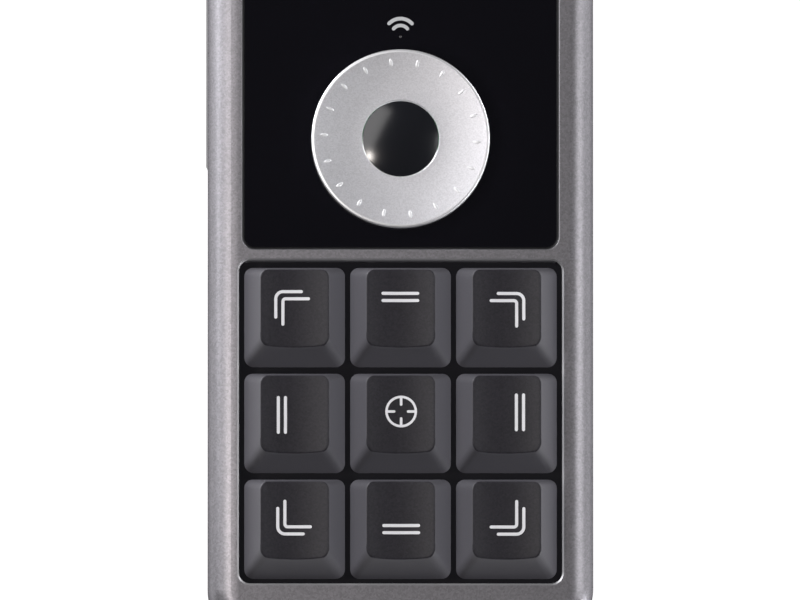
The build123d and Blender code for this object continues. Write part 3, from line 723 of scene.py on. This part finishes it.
def corner_mark(place, ways):
    """Two nested right angles, each with the radius of its bend.

    place is the outer one's corner, and ways are the signs of its outward sides.
    """
    arm, step, outer_bend, inner_bend = 4.58, 1.28, 1.3, 0.5
    x, y = place
    out_x, out_y = ways
    outer = [(x, y - out_y * arm), (x, y), (x - out_x * arm, y)]
    nested_x, nested_y = x - out_x * step, y - out_y * step
    inner = [(nested_x, nested_y - out_y * arm), (nested_x, nested_y), (nested_x - out_x * arm, nested_y)]
    return [(outer, outer_bend), (inner, inner_bend)]


def bar_mark(place, upright):
    """Two parallel bars about a place, which have no bend."""
    half, gap = 3.12, 0.64
    x, y = place
    if upright:
        return [([(x + side * gap, y - half), (x + side * gap, y + half)], 0.0) for side in (-1, 1)]
    return [([(x - half, y + side * gap), (x + half, y + side * gap)], 0.0) for side in (-1, 1)]


def target_mark(cap, lift):
    """A ring with four ticks that point to its centre."""
    centre = cap.middle + Vector((0.06, 1.91)) * MM
    radius, ring_width, around = 2.63 * MM, 0.44 * MM, 64
    tick_end, tick_width, tick_steps = 1.26 * MM, 0.46 * MM, 6
    turns = [2 * math.pi * step / around for step in range(around)]
    ways = [Vector((math.cos(turn), math.sin(turn))) for turn in turns]
    shapes = [stroke([centre + way * radius for way in ways], ring_width, cap.surface, lift, closed=True)]
    for way in ways[:: around // 4]:
        reaches = [radius + (tick_end - radius) * step / tick_steps for step in range(tick_steps + 1)]
        shapes.append(stroke([centre + way * reach for reach in reaches], tick_width, cap.surface, lift))
    return shapes


# The lines of each key's mark, in millimetres from the key's middle. The centre key has a target.
KEY_MARKS = {
    "11": corner_mark((-3.41, 4.40), (-1, 1)),
    "12": bar_mark((-0.08, 3.45), upright=False),
    "13": corner_mark((3.04, 4.08), (1, 1)),
    "21": bar_mark((-2.31, 1.28), upright=True),
    "23": bar_mark((2.35, 1.76), upright=True),
    "31": corner_mark((-3.05, -1.05), (-1, -1)),
    "32": bar_mark((0.07, -0.18), upright=False),
    "33": corner_mark((3.04, -1.08), (1, -1)),
}


def mark_shapes(name, cap):
    """The lines of one key's mark, on its dish."""
    look, spacing = cap.look, 0.35 * MM
    if name not in KEY_MARKS:
        return target_mark(cap, look.mark_lift)
    shapes = []
    for corners, bend in KEY_MARKS[name]:
        corners = [cap.middle + Vector(corner) * MM for corner in corners]
        path = rounded_path(corners, bend * MM, spacing)
        shapes.append(stroke(path, look.mark_width, cap.surface, look.mark_lift))
    return shapes


class KEYPAD_OT_keys(bpy.types.Operator):
    """Make the keycaps with their marks, and finish the switches under them"""

    bl_idname = "keypad.keys"
    bl_label = "Keys"

    def execute(self, context):
        look = context.scene.keypad_keys
        # The skirts' plastic is lighter and the tops' coat darker: partly a two-tone finish, partly painted
        # light on the skirts and painted shade on the tops.
        plastic = grained(
            "Keycap Plastic", look.plastic, 0.55, grain=0.16, spread=0.10, rough_spread=0.12, height=0.008,
            Specular_IOR_Level=0.4,
        )
        coat = grained(
            "Keycap Top Coat", look.top_coat_and_shade, 0.52, grain=0.28, spread=0.55, rough_spread=0.20, height=0.010,
            Specular_IOR_Level=0.28,
        )
        paint = grained("Mark Plastic", look.mark, 0.5, grain=0.12, spread=0.03, height=0.003)
        for name in KEY_NAMES:
            cap = Keycap(name, look)
            piece = new_piece(f"sculpted_keycap_{name}", *cap.shape(), plastic, f"key_{name}")
            sharpen(piece, 50.0)
            coat_and_shade_top(piece, coat, cap)
            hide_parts(f"keycap_{name}")
            lines = joined(mark_shapes(name, cap))
            new_piece(f"key_mark_{name}", *lines, paint, f"key_{name}", smooth=False)
        spring = grained("Spring Wire", (0.62, 0.58, 0.48), 0.22, grain=0.1, height=0.002, Metallic=1.0)
        wound = spring_tree()
        for name in KEY_NAMES:
            housing = f"switch_{name}"
            finish(housing, "Switch Housing", (0.014, 0.014, 0.016), 0.45, grain=0.2, height=0.006)
            finish(f"stem_{name}", "Switch Stem", (0.33, 0.018, 0.016), 0.35, grain=0.2, height=0.003)
            wind_spring(name, wound, spring)
        return {"FINISHED"}


def geometry_tree(name, inputs):
    """An empty geometry-nodes tree with named inputs, and what its input node gives."""
    tree = bpy.data.node_groups.new(name, "GeometryNodeTree")
    tree.interface.new_socket(name="Geometry", in_out="OUTPUT", socket_type="NodeSocketGeometry")
    for socket, kind in {**inputs, "Material": "Material"}.items():
        tree.interface.new_socket(name=socket, in_out="INPUT", socket_type=f"NodeSocket{kind}")
    return tree, tree.nodes.new("NodeGroupInput").outputs


def end_tree(tree, geometry, material):
    """Ends a geometry-nodes tree in real geometry with its material."""
    real = node(tree, "GeometryNodeRealizeInstances", Geometry=geometry)
    coat = node(tree, "GeometryNodeSetMaterial", Geometry=real.outputs["Geometry"], Material=material)
    tree.links.new(coat.outputs["Geometry"], tree.nodes.new("NodeGroupOutput").inputs["Geometry"])
    return tree


def spring_tree():
    """Geometry nodes that wind a round wire into a coil spring."""
    tree, given = geometry_tree("Coil Spring", {
        "Turns": "Float",
        "Coil Radius": "Float",
        "Wire Radius": "Float",
        "Length": "Float",
        "Foot": "Vector",
    })
    coil = node(
        tree, "GeometryNodeCurveSpiral", Resolution=28, Rotations=given["Turns"],
        Start_Radius=given["Coil Radius"], End_Radius=given["Coil Radius"], Height=given["Length"],
    )
    section = node(
        tree, "GeometryNodeCurvePrimitiveCircle", {"mode": "RADIUS"},
        Resolution=10, Radius=given["Wire Radius"],
    )
    wire = node(
        tree, "GeometryNodeCurveToMesh",
        Curve=coil.outputs["Curve"], Profile_Curve=section.outputs["Curve"], Fill_Caps=True,
    )
    smooth = node(tree, "GeometryNodeSetShadeSmooth", Geometry=wire.outputs["Mesh"])
    place = node(
        tree, "GeometryNodeTransform", Geometry=smooth.outputs["Geometry"], Translation=given["Foot"]
    )
    return end_tree(tree, place.outputs["Geometry"], given["Material"])


def wind_spring(name, tree, steel):
    """A switch's coil spring, wound to the size of its CAD part, which it stands in for."""
    low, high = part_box(f"spring_{name}")
    foot = Vector((*middle_of(low, high), low.z + WIRE_RADIUS))
    values = {
        "Turns": SPRING_TURNS,
        "Coil Radius": (high.x - low.x) / 2 - WIRE_RADIUS,
        "Wire Radius": WIRE_RADIUS,
        "Length": high.z - low.z - 2.0 * WIRE_RADIUS,
        "Foot": foot,
        "Material": steel,
    }
    piece = from_tree(f"coil_{name}", tree, values, "case")
    face_outwards(piece)
    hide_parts(f"spring_{name}")
    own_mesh(piece)


# ---- the dial
def dial_marks_tree():
    """Geometry nodes that set small lens-shaped marks around a dial, standing a little out of its dish."""
    tree, given = geometry_tree("Dial Marks", {
        "Count": "Int",
        "Radius": "Float",
        "Mark Size": "Vector",
        "Slope": "Float",
        "Centre": "Vector",
        "Start": "Float",
    })
    ring = node(tree, "GeometryNodeMeshCircle", Vertices=given["Count"], Radius=given["Radius"])
    lens = node(tree, "GeometryNodeMeshUVSphere", Segments=20, Rings=12, Radius=0.5)
    smooth = node(tree, "GeometryNodeSetShadeSmooth", Geometry=lens.outputs["Mesh"])
    share = arithmetic(tree, "DIVIDE", node(tree, "GeometryNodeInputIndex").outputs[0], given["Count"])
    turn = node(
        tree, "ShaderNodeCombineXYZ",
        Y=arithmetic(tree, "MULTIPLY", given["Slope"], -1.0),
        Z=arithmetic(tree, "MULTIPLY", share, 2.0 * math.pi),
    )
    spread = node(
        tree, "GeometryNodeInstanceOnPoints",
        Points=ring.outputs["Mesh"], Instance=smooth.outputs["Geometry"],
        Rotation=turn.outputs[0], Scale=given["Mark Size"],
    )
    begin = node(tree, "ShaderNodeCombineXYZ", Z=given["Start"])
    place = node(
        tree, "GeometryNodeTransform",
        Geometry=spread.outputs["Instances"], Translation=given["Centre"], Rotation=begin.outputs[0],
    )
    return end_tree(tree, place.outputs["Geometry"], given["Material"])


def from_tree(name, tree, values, body):
    """The plain mesh that a geometry-nodes tree makes, as a piece that rides on a body."""
    holder = in_scene(name, bpy.data.meshes.new(name))
    modifier = holder.modifiers.new("Make", "NODES")
    modifier.node_group = tree
    for socket in tree.interface.items_tree:
        if socket.item_type == "SOCKET" and socket.in_out == "INPUT":
            modifier[socket.identifier] = values[socket.name]
    graph = bpy.context.evaluated_depsgraph_get()
    mesh = bpy.data.meshes.new_from_object(holder.evaluated_get(graph))
    holder.modifiers.clear()
    holder.data = mesh
    mesh.name = name
    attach(holder, body)
    return holder


class Dial:
    """The measures of the dial, read from its CAD node, and the outlines of its pieces.

    An outline is a closed list of (radius, height) pairs.
    """

    def __init__(self, look):
        self.look = look
        self.low, self.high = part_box("dial_ring")
        self.centre = middle_of(self.low, self.high)
        self.radius = (self.high.x - self.low.x) / 2
        self.rim_inner = self.radius - look.rim_width
        self.floor = self.high.z - 0.95 * MM
        self.bend = (self.high.z - self.floor) / (self.rim_inner - DIAL_BORE) ** DISH_CURVE
        self.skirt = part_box("front_panel")[1].z + 0.9 * MM

    def dish(self, distance):
        """The dish's height at a distance from the axis: flat at the bore, steeper towards the rim."""
        return self.floor + self.bend * (distance - DIAL_BORE) ** DISH_CURVE

    def dish_slope(self, distance):
        """The dish's angle at a distance from the axis."""
        return math.atan(DISH_CURVE * self.bend * (distance - DIAL_BORE) ** (DISH_CURVE - 1.0))

    def face_outline(self):
        """The dished face, as a closed disc whose edges tuck under the rim and the hub."""
        steps, inner, underside = 24, DIAL_BORE + 0.12 * MM, self.skirt + 1.0 * MM
        outline = []
        for step in range(steps + 1):
            distance = inner + (self.rim_inner - DIAL_BORE - 0.1 * MM) * step / steps
            outline.append((distance, self.dish(distance)))
        return outline + [(self.rim_inner, underside), (inner, underside)]

    def rim_outline(self):
        """A narrow crest that rolls over outwards, and a straight side with a small chamfer below."""
        crest, chamfer = 0.03 * MM, 0.25 * MM
        outline = [(self.rim_inner, self.high.z - 0.01 * MM), (self.rim_inner + crest, self.high.z)]
        # Each part of the roll: its share of the rim's width, and how steeply it falls, in degrees.
        for share, fall in ((0.10, 4), (0.26, 9), (0.22, 14), (0.16, 21), (0.10, 34), (0.09, 54), (0.07, 76)):
            across = share * (self.look.rim_width - crest)
            distance, height = outline[-1]
            outline.append((distance + across, height - across * math.tan(math.radians(fall))))
        tuck = self.rim_inner - 0.3 * MM
        return outline + [
            (self.radius, self.skirt + chamfer),
            (self.radius - chamfer, self.skirt),
            (tuck, self.skirt),
            (tuck, self.high.z - 0.1 * MM),
        ]

    def hub_outline(self):
        """A fine bright chamfer around the bore, and the hub below it."""
        flange = self.skirt + 1.4 * MM
        hub_inner, hub_outer = 7.15 * MM, 9.5 * MM
        return [
            (DIAL_BORE + 0.13 * MM, self.floor + 0.002 * MM),
            (DIAL_BORE + 0.04 * MM, self.floor - 0.006 * MM),
            (DIAL_BORE, self.floor - 0.045 * MM),
            (DIAL_BORE, self.low.z + 6.4 * MM),
            (hub_inner, self.low.z + 6.2 * MM),
            (hub_inner, self.low.z),
            (hub_outer, self.low.z),
            (hub_outer, flange),
            (DIAL_BORE + 0.16 * MM, flange),
        ]


def button_outline():
    """The button in the dial's bore: a dome that falls from its crown to its edge, and a stepped stalk."""
    low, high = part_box("dial_cap")
    radius, pole = 6.80 * MM, 0.02 * MM
    crown, dome = high.z - 0.02 * MM, 1.0 * MM
    neck, neck_radius = high.z - 2.15 * MM, 4.9 * MM
    foot_top, foot_radius = low.z + 0.6 * MM, 5.8 * MM
    shares = [step / 32 for step in range(33)]
    outline = [(max(radius * share, pole), crown - dome * share**2) for share in shares]
    return outline + [
        (radius, neck),
        (neck_radius, neck),
        (neck_radius, foot_top),
        (foot_radius, foot_top),
        (foot_radius, low.z),
        (pole, low.z),
    ]


class KEYPAD_OT_dial(bpy.types.Operator):
    """Make the dished dial with its polished rim and marks, and the domed button in its centre"""

    bl_idname = "keypad.dial"
    bl_label = "Dial"

    def execute(self, context):
        look = context.scene.keypad_dial
        dial = Dial(look)
        blasted = grained(
            "Blasted Aluminium", look.face, 0.50, grain=0.20, spread=0.17, rough_spread=0.18, height=0.007,
            Metallic=1.0,
        )
        satin = grained(
            "Satin Marks", look.mark, 0.50, grain=0.17, spread=0.06, rough_spread=0.1, height=0.003,
            Metallic=0.4,
        )
        polished = grained(
            "Polished Rim", look.rim, 0.50, grain=0.3, spread=0.03, rough_spread=0.04, height=0.001,
            Metallic=1.0,
        )
        for name, outline, segments, metal in (
            ("dial_face", dial.face_outline(), 180, blasted),
            ("dial_rim", dial.rim_outline(), 180, polished),
            ("dial_hub", dial.hub_outline(), 120, blasted),
        ):
            piece = new_piece(name, *lathe(outline, dial.centre, segments), metal, "dial")
            sharpen(piece, 35.0)
            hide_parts("dial_ring")
        values = {
            "Count": look.mark_count,
            "Radius": look.mark_radius,
            "Mark Size": (look.mark_length, look.mark_width, 2.0 * look.mark_height),
            "Slope": dial.dish_slope(look.mark_radius),
            "Centre": (*dial.centre, dial.dish(look.mark_radius)),
            "Start": math.radians(FIRST_MARK),
            "Material": satin,
        }
        from_tree("dial_marks", dial_marks_tree(), values, "dial")

        gloss = glossy("Button Gloss", look.button, 0.165, smudge=0.02)
        button = new_piece("domed_button", *lathe(button_outline(), dial.centre, 120), gloss, "dial_button")
        sharpen(button, 40.0)
        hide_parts("dial_cap")

        finish("dial_bush button_guide", "Acetal", (0.70, 0.70, 0.67), 0.4, grain=0.3, height=0.004)
        finish("encoder_magnet", "Bonded Ferrite", (0.055, 0.055, 0.06), 0.55, grain=0.2, height=0.02)
        finish("dial_clip", "Clip Steel", (0.45, 0.45, 0.47), 0.28, grain=0.15, height=0.003, Metallic=1.0)
        return {"FINISHED"}


# ---- side controls and the inside
class KEYPAD_OT_controls(bpy.types.Operator):
    """Finish the side rocker, the power slider and the charging port"""

    bl_idname = "keypad.controls"
    bl_label = "Side Controls"

    def execute(self, context):
        look = context.scene.keypad_case
        finish(
            "side_rocker", "Rocker Plastic", look.rocker, 0.42, grain=0.2, spread=0.12, height=0.006,
            Metallic=0.4,
        )
        finish("power_slider", "Slider Plastic", (0.018, 0.018, 0.019), 0.5, grain=0.2, height=0.01)
        finish("usb_socket", "Port Steel", (0.58, 0.57, 0.56), 0.3, grain=0.12, height=0.003, Metallic=1.0)
        finish("rocker_pin", "Pin Steel", (0.55, 0.55, 0.57), 0.2, grain=0.1, height=0.001, Metallic=1.0)
        return {"FINISHED"}


class KEYPAD_OT_inside(bpy.types.Operator):
    """Finish the boards, the battery, the plate and the small switches"""

    bl_idname = "keypad.inside"
    bl_label = "Inside"

    def execute(self, context):
        finish(
            "main_board control_board rocker_board",
            "Solder Mask", (0.012, 0.070, 0.030), 0.35, grain=1.2, spread=0.5, height=0.01,
        )
        # The plate is near black as painted shade in the gaps between the keys.
        finish(
            "switch_plate", "Plate Coating", PAINTED_SHADE_BLACK, 0.7, grain=0.2, height=0.01, Specular_IOR_Level=0.15
        )
        finish("battery", "Battery Foil", (0.42, 0.43, 0.46), 0.34, grain=0.8, height=0.03, Metallic=0.9)
        finish("board_ribbon", "Amber Film", (0.42, 0.19, 0.03), 0.3, grain=0.5, height=0.002)
        finish(
            "button_switch power_switch",
            "Small Switch", (0.013, 0.013, 0.014), 0.45, grain=0.15, height=0.004,
        )
        return {"FINISHED"}


# ---- the studio
LAMP_DISTANCE, AIM_HEIGHT = 0.4, 0.015
# Each lamp: its name, its bearing anticlockwise from +X and its height in degrees, its width and breadth in
# metres, its power in watts, its tint, and whether it casts a shadow. Only the first and the last do, so
# that the others reach the keys' sides evenly.
WARM, PLAIN, COOL, AMBER = (1.0, 0.98, 0.975), (1.0, 1.0, 1.0), (0.975, 0.985, 1.0), (1.0, 0.93, 0.88)
LAMPS = (
    ("Left Softbox", 154, 57, (0.36, 0.165), 0.67, WARM, True),
    ("Left Fill", 170, 23, (0.14, 0.12), 0.30, COOL, False),
    ("Low Left Fill", 145, 8, (0.12, 0.08), 1.80, COOL, False),
    ("Right Softbox", 0, 40, (0.14, 0.24), 0.49, PLAIN, False),
    ("Low Back Fill", 32, 8, (0.10, 0.08), 0.85, COOL, False),
    ("Low Right Fill", 328, 8, (0.10, 0.08), 0.80, COOL, False),
    ("Front Fill", 262, 10, (0.20, 0.10), 0.10, COOL, False),
    ("Small Lamp", 198, 61, (0.044, 0.024), 0.26, AMBER, True),
)


def softbox(name, bearing, height, size, power, tint, shadow):
    """A rectangular lamp that faces the object's middle."""
    lamp = bpy.data.lights.new(name, "AREA")
    lamp.shape = "RECTANGLE"
    lamp.size, lamp.size_y = size
    lamp.energy = power
    lamp.color = tint
    lamp.use_shadow = shadow
    holder = in_scene(name, lamp)
    turn, rise = math.radians(bearing), math.radians(height)
    away = Vector((math.cos(turn) * math.cos(rise), math.sin(turn) * math.cos(rise), math.sin(rise)))
    holder.location = Vector((0.0, 0.0, AIM_HEIGHT)) + away * LAMP_DISTANCE
    holder.rotation_mode = "QUATERNION"
    holder.rotation_quaternion = (-away).to_track_quat("-Z", "Y")


def any_ray(tree, *kinds):
    """1 for a ray of one of these kinds, and 0 for any other."""
    path = node(tree, "ShaderNodeLightPath").outputs
    found = path[f"Is {kinds[0]} Ray"]
    for kind in kinds[1:]:
        found = arithmetic(tree, "MAXIMUM", found, path[f"Is {kind} Ray"])
    return found


def studio_world(strength):
    """Faint light from overhead, and a white backdrop for the camera and, low down, for reflections."""
    world = bpy.data.worlds.new("Studio Sky")
    world.use_nodes = True
    tree = world.node_tree
    height = along(tree, "Z", "Generated")
    ramp = node(tree, "ShaderNodeValToRGB", Fac=height)
    for stop, place, grey in zip(ramp.color_ramp.elements, (0.0, 0.8), (0.2, 1.0)):
        stop.position, stop.color = place, (grey, grey, grey, 1.0)
    sky = tree.nodes["Background"]
    feed(tree, sky.inputs["Color"], ramp.outputs["Color"])
    feed(tree, sky.inputs["Strength"], strength)
    backdrop = node(tree, "ShaderNodeBackground", Color=(1.0, 1.0, 1.0, 1.0), Strength=1.0)
    horizon = 0.03
    low = arithmetic(tree, "LESS_THAN", height, horizon)
    mirrored = arithmetic(tree, "MULTIPLY", any_ray(tree, "Glossy"), low)
    white = arithmetic(tree, "MAXIMUM", any_ray(tree, "Camera", "Transmission"), mirrored)
    blend_shaders(tree, white, sky, backdrop, tree.nodes["World Output"])
    bpy.context.scene.world = world


def blend_shaders(tree, share, first, second, output):
    """Ends a tree in a mix of two shaders."""
    mix = node(tree, "ShaderNodeMixShader", Fac=share)
    tree.links.new(first.outputs[0], mix.inputs[1])
    tree.links.new(second.outputs[0], mix.inputs[2])
    tree.links.new(mix.outputs[0], output.inputs["Surface"])


def floor_material():
    """A white floor that shows as white to the camera and in reflections, and still takes a shadow."""
    material = bpy.data.materials.new("Studio Floor")
    material.use_nodes = True
    tree = material.node_tree
    tree.nodes.clear()
    paper = node(tree, "ShaderNodeBsdfDiffuse", Color=(0.80, 0.80, 0.80, 1.0))
    shaded = node(tree, "ShaderNodeBsdfDiffuse", Color=(0.30, 0.30, 0.30, 1.0))
    glow = node(tree, "ShaderNodeEmission", Color=(1.0, 1.0, 1.0, 1.0), Strength=0.82)
    both = node(tree, "ShaderNodeAddShader")
    tree.links.new(shaded.outputs[0], both.inputs[0])
    tree.links.new(glow.outputs[0], both.inputs[1])
    seen = any_ray(tree, "Camera", "Glossy", "Transmission")
    blend_shaders(tree, seen, paper, both, node(tree, "ShaderNodeOutputMaterial"))
    return material


def studio_floor():
    """A floor just under the feet, so that it and their soles don't share one plane."""
    half, level = 8.0, -0.02 * MM
    mesh = bpy.data.meshes.new("floor")
    corners = [(-half, -half, level), (half, -half, level), (half, half, level), (-half, half, level)]
    mesh.from_pydata(corners, [], [(0, 1, 2, 3)])
    mesh.materials.append(floor_material())
    floor = in_scene("floor", mesh)


def studio_camera(look):
    """A long lens nearly straight above the frame's top."""
    target = Vector((look.aim_x, look.aim_y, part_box("top_frame")[1].z))
    back = Vector((-math.tan(look.lean), -math.tan(look.tilt), 1.0)).normalized()
    right = Vector((0.0, 1.0, 0.0)).cross(back).normalized()
    lens = bpy.data.cameras.new("Camera")
    lens.sensor_width = 36.0
    lens.lens = lens.sensor_width * look.distance / look.view_width
    lens.clip_start, lens.clip_end = 0.05, 60.0
    camera = in_scene("Camera", lens)
    camera.location = target + back * look.distance
    camera.rotation_mode = "QUATERNION"
    camera.rotation_quaternion = Matrix((right, back.cross(right), back)).transposed().to_quaternion()
    bpy.context.scene.camera = camera


class KEYPAD_OT_studio(bpy.types.Operator):
    """Set up the floor, the lamps, the sky and the camera"""

    bl_idname = "keypad.studio"
    bl_label = "Studio"

    def execute(self, context):
        look = context.scene.keypad_studio
        studio_floor()
        studio_world(look.sky)
        for name, bearing, height, size, power, tint, shadow in LAMPS:
            softbox(name, bearing, height, size, power * look.power, tint, shadow)
        studio_camera(look)
        context.scene.view_settings.view_transform = "Standard"
        return {"FINISHED"}


# ---- the sidebar and the run
OPERATORS = (
    KEYPAD_OT_case,
    KEYPAD_OT_panel,
    KEYPAD_OT_keys,
    KEYPAD_OT_dial,
    KEYPAD_OT_controls,
    KEYPAD_OT_inside,
    KEYPAD_OT_studio,
)
SETTINGS = {
    "keypad_keys": KeypadKeys,
    "keypad_dial": KeypadDial,
    "keypad_case": KeypadCase,
    "keypad_studio": KeypadStudio,
}


class KEYPAD_PT_sidebar(bpy.types.Panel):
    """The keypad's steps and settings"""

    bl_label = "Keypad"
    bl_idname = "KEYPAD_PT_sidebar"
    bl_space_type = "VIEW_3D"
    bl_region_type = "UI"
    bl_category = "Keypad"

    def draw(self, context):
        for operator in OPERATORS:
            self.layout.operator(operator.bl_idname)
        for holder, group in SETTINGS.items():
            box = self.layout.box()
            box.label(text=group.__name__)
            for name in group.__annotations__:
                box.prop(getattr(context.scene, holder), name)


def register():
    for group in SETTINGS.values():
        bpy.utils.register_class(group)
    for operator in OPERATORS:
        bpy.utils.register_class(operator)
    bpy.utils.register_class(KEYPAD_PT_sidebar)
    for holder, group in SETTINGS.items():
        setattr(bpy.types.Scene, holder, PointerProperty(type=group))


def unregister():
    for holder in SETTINGS:
        delattr(bpy.types.Scene, holder)
    bpy.utils.unregister_class(KEYPAD_PT_sidebar)
    for operator in reversed(OPERATORS):
        bpy.utils.unregister_class(operator)
    for group in reversed(list(SETTINGS.values())):
        bpy.utils.unregister_class(group)


def main():
    register()
    bpy.ops.keypad.case()
    bpy.ops.keypad.panel()
    bpy.ops.keypad.keys()
    bpy.ops.keypad.dial()
    bpy.ops.keypad.controls()
    bpy.ops.keypad.inside()
    bpy.ops.keypad.studio()


if __name__ == "__main__":
    main()
